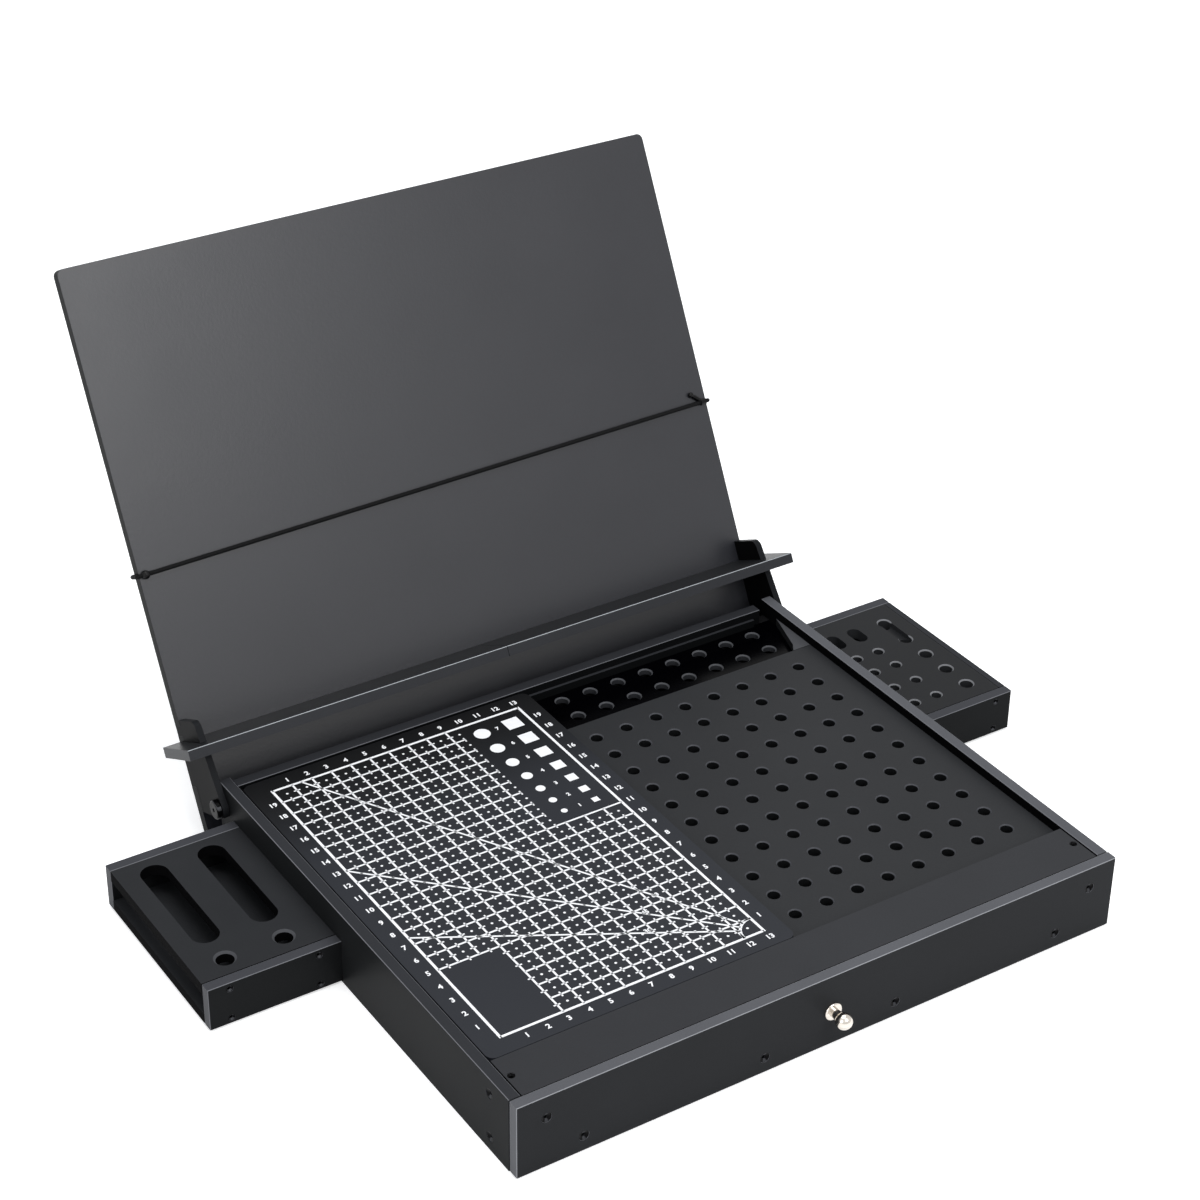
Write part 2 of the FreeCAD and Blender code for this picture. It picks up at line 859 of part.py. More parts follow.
def stand_arm(side):
    """The plate under an end of the ledge: it turns on its pin and is tabbed to the board."""
    above = side_block(
        side, arm_inner - 1, arm_outer + 1, board_face - ledge_depth, board_rear,
        ledge_bottom - ledge_fit, board_top,
    )
    bore = Part.makeCylinder(
        pivot_pin_radius + pivot_fit, arm_thickness + 2,
        V(side * (arm_inner - 1), 0, 0), V(side, 0, 0),
    )
    tab = arm_tabs(side, 0)[0]
    return arm_plate(side).cut(above).fuse(tab).removeSplitter().cut(bore)


def cheek(side):
    """The rounded stop above an end of the ledge, tabbed to the board like the arm."""
    below = side_block(
        side, arm_inner - 1, arm_outer + 1, -ledge_depth, board_rear,
        board_bottom, ledge_top + ledge_fit,
    )
    tab = arm_tabs(side, 0)[1]
    return arm_plate(side).cut(below).fuse(tab).removeSplitter()


def ledge(side):
    """Half of the ledge that a sheet stands on; it slides out of the groove to its side."""
    shape = side_block(
        side, ledge_seam / 2.0, ledge_half,
        board_face - ledge_depth, board_face + ledge_groove - ledge_fit, ledge_bottom, ledge_top,
    )

    def front_edge(middle):
        on_front = abs(middle.y - board_face + ledge_depth) < 0.01
        return on_front and abs(middle.z - ledge_top) < 0.01

    return break_edges(shape, panel_edge_break, front_edge)


def pivot_pin(side):
    """The shouldered pin that an arm turns on, with its head outside the arm."""
    out = V(side, 0, 0)
    inner_end = inner_half - pin_anchor()
    start = V(side * inner_end, pivot_y, pivot_height)
    head_start = arm_outer + slide_gap
    pin = Part.makeCylinder(pivot_pin_radius, head_start - inner_end, start, out)
    head_place = V(side * head_start, pivot_y, pivot_height)
    head = Part.makeCylinder(pivot_head_radius, pivot_head_height, head_place, out)
    rim = [edge for edge in head.Edges if abs(edge.CenterOfMass.x) > head_start + 0.5]
    head = head.makeFillet(pivot_head_height * 0.4, rim[:1])
    socket_place = V(side * (head_start + pivot_head_height), pivot_y, pivot_height)
    socket = Part.makeCylinder(screw_head_radius * 0.6, screw_socket_depth, socket_place, -out)
    return pin.fuse(head).cut(socket)


def rear_stop_x(side):
    """The distances from the middle plane between which a rear stop lies."""
    outer = inner_half - stop_inset
    return outer - stop_width, outer


def rear_stop_screw_places():
    """Through the rear panel into the stops, from inside the box."""
    places = []
    z = drawer_floor_height + stop_height / 2.0
    for side in (LEFT, RIGHT):
        x_in, x_out = rear_stop_x(side)
        x = side * (x_in + x_out) / 2.0
        places.append((V(x, rear_panel_front, z), Y_AXIS, screw_length))
    return places


def rear_stop(side):
    """The slanted block behind the box that the foot of the leaning board meets."""
    x_in, x_out = rear_stop_x(side)
    z0 = drawer_floor_height
    shape = side_block(
        side, x_in, x_out, rear_panel_rear, half_depth + pivot_to_board, z0, z0 + stop_height,
    )
    reach = 10 * board_below_ledge
    beyond = placed(
        block(-half_width, half_width, board_face - stop_gap, board_face + reach, -reach, reach)
    )
    return drill(shape.cut(beyond), rear_stop_screw_places())


# ---------------------------------------------------------------- elastic cord
def cord_place(shape):
    """Tip a shape so that it follows the cord across the board, then put it on the box."""
    slope = math.degrees(math.atan2(cord_height_right - cord_height_left, 2 * board_half))
    height = ledge_top + (cord_height_left + cord_height_right) / 2.0
    shape = shape.copy()
    shape.rotate(V(0, 0, 0), Y_AXIS, -slope)
    shape.translate(V(0, 0, height))
    return placed(shape)


def cord_axis_front():
    """How far ahead of the pivot plane the front run of the cord lies."""
    return board_face - cord_gap - cord_radius


def elastic_cord():
    """The cord: a closed loop, flat against the face, the edges and the back of the board."""
    bend = cord_radius + cord_edge_gap
    front = cord_axis_front()
    rear = board_rear + cord_gap + cord_radius
    edge = board_half + cord_edge_gap + cord_radius
    inner = edge - bend
    turn = bend * math.sqrt(0.5)
    edges = []
    for side in (LEFT, RIGHT):
        outer_x = side * edge
        inner_x = side * inner
        front_centre = front + bend
        rear_centre = rear - bend
        edges.append(Part.Arc(
            V(inner_x, front, 0), V(inner_x + side * turn, front_centre - turn, 0),
            V(outer_x, front_centre, 0),
        ).toShape())
        edges.append(
            Part.LineSegment(V(outer_x, front_centre, 0), V(outer_x, rear_centre, 0)).toShape()
        )
        edges.append(Part.Arc(
            V(outer_x, rear_centre, 0), V(inner_x + side * turn, rear_centre + turn, 0),
            V(inner_x, rear, 0),
        ).toShape())
    edges.append(Part.LineSegment(V(-inner, front, 0), V(inner, front, 0)).toShape())
    edges.append(Part.LineSegment(V(-inner, rear, 0), V(inner, rear, 0)).toShape())
    path = Part.Wire(Part.__sortEdges__(edges))
    start = path.Edges[0].valueAt(path.Edges[0].FirstParameter)
    along = path.Edges[0].tangentAt(path.Edges[0].FirstParameter)
    section = Part.Wire(Part.makeCircle(cord_radius, start, along))
    return cord_place(path.makePipeShell([section], True, False))


def cord_bead():
    """The small ball threaded on the cord near the left edge."""
    centre = V(-board_half + bead_inset, cord_axis_front(), 0)
    ball = Part.makeSphere(bead_radius, centre)
    behind = block(
        centre.x - bead_radius, centre.x + bead_radius,
        board_face - cord_gap, board_face + bead_radius, -bead_radius, bead_radius,
    )
    bore = Part.makeCylinder(
        cord_radius + screw_fit, 4 * bead_radius, centre - X_AXIS * 2 * bead_radius, X_AXIS
    )
    return cord_place(ball.cut(behind).cut(bore))


def cord_toggle():
    """The sleeve that joins the cord's ends near the right edge, with its slanted peg."""
    joint = V(board_half - toggle_inset, cord_axis_front(), 0)
    head = joint + V(-toggle_reach, 0, toggle_rise)
    sleeve_start = joint - X_AXIS * (toggle_sleeve_length / 2.0)
    toggle = Part.makeCylinder(toggle_sleeve_radius, toggle_sleeve_length, sleeve_start, X_AXIS)
    along = joint - head
    toggle = toggle.fuse(Part.makeCylinder(toggle_peg_radius, along.Length, head, along))
    toggle = toggle.fuse(Part.makeSphere(toggle_head_radius, head))
    behind = block(
        head.x - toggle_head_radius, joint.x + toggle_sleeve_length,
        board_face - cord_gap, board_face + toggle_sleeve_radius,
        -toggle_sleeve_radius, head.z + toggle_head_radius,
    )
    bore = Part.makeCylinder(
        cord_radius + screw_fit, 2 * toggle_reach, joint - X_AXIS * toggle_reach, X_AXIS
    )
    return cord_place(toggle.cut(behind).cut(bore))


# ---------------------------------------------------------------- sub-parts
parts = {
    "side_panel_left": side_panel(LEFT),
    "side_panel_right": side_panel(RIGHT),
    "base_bottom": base_bottom(),
    "rear_panel": rear_panel(),
    "rear_rail": rear_rail(),
    "corner_block_left": corner_block(LEFT),
    "corner_block_right": corner_block(RIGHT),
    "drawer_guide_left": drawer_guide(LEFT),
    "drawer_guide_right": drawer_guide(RIGHT),
    "deck_strip": deck_strip(),
    "deck_ledger": deck_ledger(),
    "centre_beam": centre_beam(),
    "bay_wall": bay_wall(),
    "tray_guide": tray_guide(),
    "mat_support": mat_support(),
    "cutting_mat": cutting_mat(),
    "perforated_plate": perforated_plate(),
    "tool_tier": tool_tier(),
    "plate_wedge": plate_wedge(),
    "side_panel_screws": screw_group(side_screw_places(LEFT) + side_screw_places(RIGHT)),
    "deck_screws": screw_group(deck_screw_places()),
    "drawer_front": drawer_front(),
    "drawer_wall_left": drawer_wall(LEFT),
    "drawer_wall_right": drawer_wall(RIGHT),
    "drawer_floor": drawer_floor(),
    "drawer_back": drawer_back(),
    "drawer_knob": drawer_knob(),
    "knob_screw": knob_screw(),
    "drawer_front_screws": screw_group(front_screw_places()),
    "tray_left_top": left_tray_top(),
    "tray_left_floor": tray_floor(LEFT),
    "tray_left_front": tray_plate(LEFT, True),
    "tray_left_rear": tray_plate(LEFT, False),
    "tray_left_stop": tray_stop(LEFT),
    "tray_left_screws": screw_group(tray_screw_places(LEFT)),
    "tray_right_top": right_tray_top(),
    "tray_right_floor": tray_floor(RIGHT),
    "tray_right_front": tray_plate(RIGHT, True),
    "tray_right_rear": tray_plate(RIGHT, False),
    "tray_right_end": right_tray_end(),
    "tray_right_stop": tray_stop(RIGHT),
    "tray_right_screws": screw_group(tray_screw_places(RIGHT)),
    "reading_board": placed(reading_board()),
    "stand_arm_left": placed(stand_arm(LEFT)),
    "stand_arm_right": placed(stand_arm(RIGHT)),
    "cheek_left": placed(cheek(LEFT)),
    "cheek_right": placed(cheek(RIGHT)),
    "ledge_left": placed(ledge(LEFT)),
    "ledge_right": placed(ledge(RIGHT)),
    "pivot_pin_left": pivot_pin(LEFT),
    "pivot_pin_right": pivot_pin(RIGHT),
    "rear_stops": Part.makeCompound([rear_stop(LEFT), rear_stop(RIGHT)]),
    "rear_stop_screws": screw_group(rear_stop_screw_places()),
    "elastic_cord": elastic_cord(),
    "cord_bead": cord_bead(),
    "cord_toggle": cord_toggle(),
}

os.makedirs("parts", exist_ok=True)
for name, shape in parts.items():
    shape.exportStep("parts/" + name + ".step")
    print(name, len(shape.Solids), shape.isValid(), round(shape.Volume, 1))
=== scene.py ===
import math
import bmesh
import bpy
from mathutils import Matrix, Vector


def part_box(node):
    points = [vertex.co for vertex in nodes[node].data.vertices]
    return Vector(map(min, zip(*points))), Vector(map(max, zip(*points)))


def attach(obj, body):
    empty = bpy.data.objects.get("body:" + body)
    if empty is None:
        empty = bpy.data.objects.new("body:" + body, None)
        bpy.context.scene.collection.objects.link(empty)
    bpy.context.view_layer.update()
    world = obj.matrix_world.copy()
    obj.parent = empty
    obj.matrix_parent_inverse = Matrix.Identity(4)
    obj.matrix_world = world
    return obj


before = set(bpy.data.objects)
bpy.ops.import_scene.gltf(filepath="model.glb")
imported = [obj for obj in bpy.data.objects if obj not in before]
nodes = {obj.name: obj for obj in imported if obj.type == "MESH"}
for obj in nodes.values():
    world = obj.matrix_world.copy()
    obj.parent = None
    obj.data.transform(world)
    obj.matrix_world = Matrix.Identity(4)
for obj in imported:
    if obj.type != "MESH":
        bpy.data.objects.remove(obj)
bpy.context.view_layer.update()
MM = 0.001


# ---------------------------------------------------------------- box panels
# The box is sawn from 5.5 mm board faced with a black melamine film. The film is matt with a
# very fine grain, and the sawn edges are closed with a lighter, slightly glossier edging tape.
def linear(code):
    """A colour written as an sRGB hex value, as the linear values that a shader takes."""
    channels = [int(code[place:place + 2], 16) / 255 for place in (1, 3, 5)]
    curved = [c / 12.92 if c <= 0.04045 else ((c + 0.055) / 1.055) ** 2.4 for c in channels]
    return (*curved, 1.0)


def add(tree, kind, inputs=None, **settings):
    """One shader node with its settings; an input is a value or the socket it is linked to."""
    made = tree.nodes.new("ShaderNode" + kind)
    for name, value in settings.items():
        setattr(made, name, value)
    for name, value in (inputs or {}).items():
        if isinstance(value, bpy.types.NodeSocket):
            tree.links.new(value, made.inputs[name])
        else:
            made.inputs[name].default_value = value
    return made


def start_material(name, **shader):
    """A material with its shader and object coordinates, the shader's constants set by name."""
    material = bpy.data.materials.new(name)
    material.use_nodes = True
    tree = material.node_tree
    tree.nodes.clear()
    surface = add(tree, "BsdfPrincipled", {key.replace("_", " "): v for key, v in shader.items()})
    add(tree, "OutputMaterial", {"Surface": surface.outputs["BSDF"]})
    return material, tree, surface, add(tree, "TexCoord")


def set_down(name, data):
    """A new object that holds the data, linked to the scene."""
    made = bpy.data.objects.new(name, data)
    bpy.context.scene.collection.objects.link(made)
    return made


def dress(material, *names):
    """Give CAD nodes a material through their objects' slots."""
    for name in names:
        for slot in nodes[name].material_slots:
            slot.link = "OBJECT"
            slot.material = material


def laminate(name, across, face, rim_highlight, wall, inside_shade=None, gloss=0.12, roughness=0.42, grain=0.35,
             grain_size=0.7, edge_roughness=0.36, clouding=0.06):
    """Film-faced board: its face, bevels, sawn edges and the face turned to the box's middle."""
    material, tree, surface, place = start_material(name, Specular_IOR_Level=gloss)
    # broad cloudiness of the film, 45 mm across, that lifts or lowers the colour a little
    cloud = add(tree, "TexNoise", {"Vector": place.outputs["Object"], "Scale": 1 / (45 * MM),
                                   "Detail": 3.0, "Roughness": 0.55})
    # grain of the embossed film, typically 0.2 mm: too fine to show, so it is drawn coarser
    fine = add(tree, "TexNoise", {"Vector": place.outputs["Object"],
                                  "Scale": 1 / (grain_size * MM), "Detail": 2.0,
                                  "Roughness": 0.6})
    lean = add(tree, "VectorMath", {0: place.outputs["Normal"], 1: across}, operation="DOT_PRODUCT")
    side = add(tree, "VectorMath", {0: place.outputs["Object"], 1: across}, operation="DOT_PRODUCT")
    sign = add(tree, "Math", {0: side.outputs["Value"]}, operation="SIGN")
    outward = add(tree, "Math", {0: lean.outputs["Value"], 1: sign.outputs["Value"]},
                  operation="MULTIPLY")
    # from -1, facing the middle, to 1, facing out, brought to the ramp's 0 to 1
    turned = add(tree, "MapRange", {"Value": outward.outputs["Value"], "From Min": -1.0})
    zones = add(tree, "ValToRGB", {"Fac": turned.outputs["Result"]})
    zones.color_ramp.interpolation = "CONSTANT"
    # faces turned to the middle take a painted shade, and the bevels at 0.06 and 0.65 a painted
    # highlight
    zones.color_ramp.elements[0].color = linear(inside_shade or face)
    zones.color_ramp.elements[1].position = 0.94
    zones.color_ramp.elements[1].color = linear(face)
    for position, colour in ((0.06, rim_highlight), (0.35, wall), (0.65, rim_highlight)):
        zones.color_ramp.elements.new(position).color = linear(colour)
    facing = add(tree, "Math", {0: lean.outputs["Value"]}, operation="ABSOLUTE")
    shade = add(tree, "MapRange", {"Value": cloud.outputs["Fac"], "From Min": 0.3, "From Max": 0.7,
                                   "To Min": 1.0 - clouding, "To Max": 1.0 + clouding})
    speck = add(tree, "MapRange", {"Value": fine.outputs["Fac"], "From Min": 0.3, "From Max": 0.7,
                                   "To Min": 0.95, "To Max": 1.05})
    both = add(tree, "Math", {0: shade.outputs["Result"], 1: speck.outputs["Result"]},
               operation="MULTIPLY")
    toned = add(tree, "VectorMath", {0: zones.outputs["Color"], "Scale": both.outputs["Value"]},
                operation="SCALE")
    tree.links.new(toned.outputs["Vector"], surface.inputs["Base Color"])
    flat = add(tree, "Math", {0: facing.outputs["Value"], 1: 0.88}, operation="GREATER_THAN")
    varied_sheen = add(tree, "MapRange", {"Value": cloud.outputs["Fac"], "From Min": 0.3, "From Max": 0.7,
                                  "To Min": roughness - 0.02, "To Max": roughness + 0.02})
    rough = add(tree, "Mix", {0: flat.outputs["Value"], 2: edge_roughness,
                              3: varied_sheen.outputs["Result"]})
    tree.links.new(rough.outputs[0], surface.inputs["Roughness"])
    bump = add(tree, "Bump", {"Height": fine.outputs["Fac"], "Strength": grain,
                              "Distance": 0.04 * MM})
    tree.links.new(bump.outputs["Normal"], surface.inputs["Normal"])
    return material


ACROSS_X = (1.0, 0.0, 0.0)
ACROSS_Y = (0.0, 1.0, 0.0)
ACROSS_Z = (0.0, 0.0, 1.0)
# Faces turned into the box are painted near black, a painted shade; level faces are painted lighter
# than upright ones of the same film, painted light from above; and the bevels are painted light
# grey, a painted highlight.
FILM = "#1b1c1d"
FILM_LEVEL_LIT = "#2b2c2f"
INWARD_SHADE = "#070708"
TAPE = "#313235"
TAPE_HIGHLIGHT = "#6a6b6f"

side_film = laminate("melamine_panel_sides", ACROSS_X, FILM, TAPE_HIGHLIGHT, TAPE,
                     inside_shade=INWARD_SHADE, gloss=0.02)
# the right panel is the same film with its sawn edges painted lighter, painted light falling on
# that side
lit_film = laminate("melamine_panel_right_lit", ACROSS_X, FILM, TAPE_HIGHLIGHT, "#55565a",
                    inside_shade=INWARD_SHADE, gloss=0.02)
rear_film = laminate("melamine_panel_rear", ACROSS_Y, FILM, "#3c3d40", "#151516",
                     inside_shade=INWARD_SHADE, gloss=0.05)
rail_film = laminate("melamine_rear_rail", ACROSS_Y, FILM, "#5c5d61", "#2c2d30",
                     inside_shade="#0e0f10", gloss=0.05)
# level faces are painted lighter, painted light from above, and the bevels a painted highlight
level_film = laminate("melamine_panel_level_lit", ACROSS_Z, FILM_LEVEL_LIT, TAPE_HIGHLIGHT, FILM, gloss=0.12)
hidden_film = laminate("melamine_panel_hidden", ACROSS_Z, "#141415", "#141415", "#141415",
                       gloss=0.02)
dress(side_film, "side_panel_left")
dress(lit_film, "side_panel_right")
dress(rear_film, "rear_panel", "rear_stops")
dress(rail_film, "rear_rail")
dress(level_film, "deck_strip", "base_bottom")
dress(hidden_film, "drawer_guide_left", "drawer_guide_right", "corner_block_left",
      "corner_block_right", "bay_wall", "tray_guide", "deck_ledger", "centre_beam", "mat_support")


# ---------------------------------------------------------------- cutting mat
# A 2.5 mm mat of layered PVC with a dark blue-grey, finely pebbled skin. Rulings, angles and
# gauge shapes are screen printed in white ink, with plain numbers along all four sides.
# the mat's colour is darkened from the first depth to the second, a painted shade towards the rear
SHADE_FROM_Y = 35 * MM
SHADE_DARKEST_Y = 115 * MM


def mat_vinyl():
    """Pressed PVC sheet: pebbles 0.9 mm across, and a faint sheen where it has been rubbed."""
    material, tree, surface, place = start_material("pressed_pvc_mat", Specular_IOR_Level=0.15)
    cloud = add(tree, "TexNoise", {"Vector": place.outputs["Object"], "Scale": 1 / (30 * MM),
                                   "Detail": 4.0})
    tint = add(tree, "Mix", {0: cloud.outputs["Fac"], 6: linear("#23252a"), 7: linear("#282a2f")},
               data_type="RGBA")
    # painted shade: the skin is darkened towards the rear, under the ledge and board
    across = add(tree, "SeparateXYZ", {"Vector": place.outputs["Object"]})
    rear_shade = add(tree, "MapRange", {"Value": across.outputs["Y"], "From Min": SHADE_FROM_Y,
                                   "From Max": SHADE_DARKEST_Y, "To Min": 1.0, "To Max": 0.12},
                interpolation_type="SMOOTHSTEP")
    skin = add(tree, "VectorMath", {0: tint.outputs[2], "Scale": rear_shade.outputs["Result"]},
               operation="SCALE")
    tree.links.new(skin.outputs["Vector"], surface.inputs["Base Color"])
    sheen_ramp = add(tree, "MapRange", {"Value": cloud.outputs["Fac"], "From Min": 0.3,
                                    "From Max": 0.7, "To Min": 0.46, "To Max": 0.56})
    tree.links.new(sheen_ramp.outputs["Result"], surface.inputs["Roughness"])
    pebble = add(tree, "TexVoronoi", {"Vector": place.outputs["Object"], "Scale": 1 / (0.9 * MM)},
                 feature="SMOOTH_F1")
    bump = add(tree, "Bump", {"Height": pebble.outputs["Distance"], "Strength": 0.25,
                              "Distance": 0.05 * MM})
    tree.links.new(bump.outputs["Normal"], surface.inputs["Normal"])
    return material


dress(mat_vinyl(), "cutting_mat")

mat_low, mat_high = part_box("cutting_mat")
MAT_MARGIN = 10 * MM
RULED_WIDTH = 130
RULED_LENGTH = 200
CELL = 10
INK_THICKNESS = 0.05 * MM
OUTLINE_INK = 1.25
RULE_INK = 0.95
TICK_INK = 0.75
TICK_LENGTH = 3.2
DOT_RADIUS = 0.62
RAY_INK = 0.9
FIGURE_THICKENING = 0.13 * MM
# a figure is this share of its font's size in height
FIGURE_SHARE = 0.7

ink = bmesh.new()


def on_mat(x, y):
    """A point of the ruled field, in millimetres from its front left corner, in the frame."""
    return Vector((mat_high.x - MAT_MARGIN + (x - RULED_WIDTH) * MM,
                   mat_low.y + MAT_MARGIN + y * MM, mat_high.z))


def ink_bar(x0, y0, x1, y1, width):
    """A printed line between two points of the ruled field."""
    start, end = on_mat(x0, y0), on_mat(x1, y1)
    along = end - start
    turn = Matrix.Rotation(math.atan2(along.y, along.x), 4, "Z")
    size = Matrix.Diagonal((along.length, width * MM, 2 * INK_THICKNESS, 1.0))
    bmesh.ops.create_cube(ink, size=1.0,
                          matrix=Matrix.Translation((start + end) / 2) @ turn @ size)


def ink_disc(x, y, radius, segments):
    """A printed dot."""
    bmesh.ops.create_cone(ink, cap_ends=True, segments=segments, radius1=radius * MM,
                          radius2=radius * MM, depth=2 * INK_THICKNESS,
                          matrix=Matrix.Translation(on_mat(x, y)))


def ink_text(words, x, y, height, turn=0.0):
    """Printed figures, centred on a point."""
    curve = bpy.data.curves.new("figures", "FONT")
    curve.body = words
    curve.size = height * MM / FIGURE_SHARE
    curve.align_x = "CENTER"
    curve.align_y = "CENTER"
    curve.offset = FIGURE_THICKENING
    curve.extrude = INK_THICKNESS
    curve.resolution_u = 2
    holder = bpy.data.objects.new("figures", curve)
    mesh = bpy.data.meshes.new_from_object(holder)
    mesh.transform(Matrix.Translation(on_mat(x, y)) @ Matrix.Rotation(turn, 4, "Z"))
    ink.from_mesh(mesh)
    bpy.data.meshes.remove(mesh)
    bpy.data.objects.remove(holder)
    bpy.data.curves.remove(curve)


GAUGE_LEFT = 95.5
GAUGE_FRONT = 110
BLANK_RIGHT = 30
BLANK_REAR = 50


def blank(x, y):
    """Whether a place lies in the empty label field or among the gauge shapes."""
    in_label = x < BLANK_RIGHT and y < BLANK_REAR
    in_gauge = x > GAUGE_LEFT and y > GAUGE_FRONT
    return in_label or in_gauge


# outline and centimetre rulings, which stop at the label field and the gauge shapes
for corner_x in (0, RULED_WIDTH):
    ink_bar(corner_x, -OUTLINE_INK / 2, corner_x, RULED_LENGTH + OUTLINE_INK / 2, OUTLINE_INK)
for corner_y in (0, RULED_LENGTH):
    ink_bar(0, corner_y, RULED_WIDTH, corner_y, OUTLINE_INK)
for x in range(CELL, RULED_WIDTH, CELL):
    front = BLANK_REAR if x < BLANK_RIGHT else 0
    rear = GAUGE_FRONT if x > GAUGE_LEFT else RULED_LENGTH
    ink_bar(x, front, x, rear, RULE_INK)
for y in range(CELL, RULED_LENGTH, CELL):
    left = BLANK_RIGHT if y < BLANK_REAR else 0
    right = GAUGE_LEFT if y > GAUGE_FRONT else RULED_WIDTH
    ink_bar(left, y, right, y, RULE_INK)

# half-centimetre ticks across every ruling, and a dot in the middle of every cell
half = CELL / 2
for column in range(0, RULED_WIDTH, CELL):
    for row in range(0, RULED_LENGTH, CELL):
        x, y = column + half, row + half
        if blank(x, y):
            continue
        ink_disc(x, y, DOT_RADIUS, 8)
        if row > 0:
            ink_bar(x, row - TICK_LENGTH / 2, x, row + TICK_LENGTH / 2, TICK_INK)
        if column > 0:
            ink_bar(column - TICK_LENGTH / 2, y, column + TICK_LENGTH / 2, y, TICK_INK)

# angle rays from the front right corner, each with its figure
ARC_RADIUS = 10
RAY_FIGURE_SHIFT = (-1, 2.4)
RAY_FIGURE_HEIGHT = 2.4
for degrees, reach, figure_at in ((30, 150.1, 47), (45, 183.8, 49), (60, 230.9, 49)):
    angle = math.radians(180 - degrees)
    ray_x, ray_y = math.cos(angle), math.sin(angle)
    ink_bar(RULED_WIDTH + ARC_RADIUS * ray_x, ARC_RADIUS * ray_y,
            RULED_WIDTH + reach * ray_x, reach * ray_y, RAY_INK)
    ink_text(str(degrees), RULED_WIDTH + figure_at * ray_x + RAY_FIGURE_SHIFT[0],
             figure_at * ray_y + RAY_FIGURE_SHIFT[1], RAY_FIGURE_HEIGHT)
ARC_STEPS = 9
for step in range(ARC_STEPS):
    a0 = math.pi / 2 * (1 + step / ARC_STEPS)
    a1 = math.pi / 2 * (1 + (step + 1) / ARC_STEPS)
    ink_bar(RULED_WIDTH + ARC_RADIUS * math.cos(a0), ARC_RADIUS * math.sin(a0),
            RULED_WIDTH + ARC_RADIUS * math.cos(a1), ARC_RADIUS * math.sin(a1), OUTLINE_INK)

# gauge shapes: seven circles and seven squares that grow towards the rear
CIRCLE_X = 104.4
FIGURE_X = 112.7
GAUGE_FIGURE_HEIGHT = 2.2
SQUARE_X = 121.1
for place, circle, square, label in (
    (190.1, 8.0, 8.3, "7"), (176.1, 7.1, 7.7, "6"), (162.7, 6.3, 6.9, "5"), (150.0, 5.4, 6.0, "4"),
    (138.3, 4.6, 5.0, "3"), (127.7, 3.9, 4.3, "2"), (118.0, 3.1, 3.3, "1"),
):
    ink_disc(CIRCLE_X, place, circle / 2, 24)
    ink_bar(SQUARE_X - square / 2, place, SQUARE_X + square / 2, place, square)
    ink_text(label, FIGURE_X, place, GAUGE_FIGURE_HEIGHT)

# centimetre figures outside the outline
FIGURE_OFFSET = 4.6
FIGURE_HEIGHT = 2.8
for x in range(CELL, RULED_WIDTH + 1, CELL):
    for y in (-FIGURE_OFFSET, RULED_LENGTH + FIGURE_OFFSET):
        ink_text(str(x // CELL), x, y, FIGURE_HEIGHT)
for y in range(CELL, RULED_LENGTH, CELL):
    for x in (-FIGURE_OFFSET, RULED_WIDTH + FIGURE_OFFSET):
        ink_text(str(y // CELL), x, y, FIGURE_HEIGHT)

ink_mesh = bpy.data.meshes.new("mat_print")
ink.to_mesh(ink_mesh)
ink.free()
mat_print = set_down("mat_print", ink_mesh)

white_ink, tree, surface, place = start_material("screen_printed_ink", Roughness=0.55)
# the ink is a little thin in places, over patches 3 mm across
patch = add(tree, "TexNoise", {"Vector": place.outputs["Object"], "Scale": 1 / (3 * MM),
                               "Detail": 3.0})
thin = add(tree, "Mix", {0: patch.outputs["Fac"], 6: linear("#dfe0e3"), 7: linear("#f4f4f5")},
           data_type="RGBA")
tree.links.new(thin.outputs[2], surface.inputs["Base Color"])
ink_mesh.materials.append(white_ink)
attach(mat_print, "box")


# ---------------------------------------------------------------- perforated plates
# The upper plate is film-faced board too, drilled in rows and columns, and each hole's edge is
# broken by 0.5 mm; the hole walls are painted dark, a painted shade, and the broken edges light, a
# painted highlight. The lower tier behind it is gloss black acrylic, its face painted near black,
# partly its own black and partly a painted shade, with grey walls where its holes were cut and
# lighter rims, a painted highlight. The wedge beside it is painted lighter, a painted reflection.
dress(laminate("melamine_perforated", ACROSS_Z, "#28292b", "#434448", "#161718",
               gloss=0.1, roughness=0.45, grain=0.6), "perforated_plate")
dress(laminate("melamine_wedge", ACROSS_Z, "#434447", "#5a5b5f", "#1a1b1c",
               gloss=0.1, roughness=0.45, grain=0.6), "plate_wedge")
dress(laminate("gloss_acrylic_tier", ACROSS_Z, "#010102", "#48494c", "#303134",
               gloss=0.06, roughness=0.16, grain=0.05, edge_roughness=0.3), "tool_tier")


# ---------------------------------------------------------------- drawer
# Film-faced boards screwed together, with a turned knob of polished nickel on the front.
# its bevels and sawn edges are painted lighter than the side panels', a painted highlight
drawer_film = laminate("melamine_drawer_front", ACROSS_Y, "#222325", "#8a8b8f", "#55565a",
                       inside_shade=INWARD_SHADE, gloss=0.05)
dress(drawer_film, "drawer_front")
dress(rear_film, "drawer_back")
dress(side_film, "drawer_wall_left", "drawer_wall_right")
dress(level_film, "drawer_floor")

nickel, tree, surface, place = start_material("polished_nickel", Metallic=1.0)
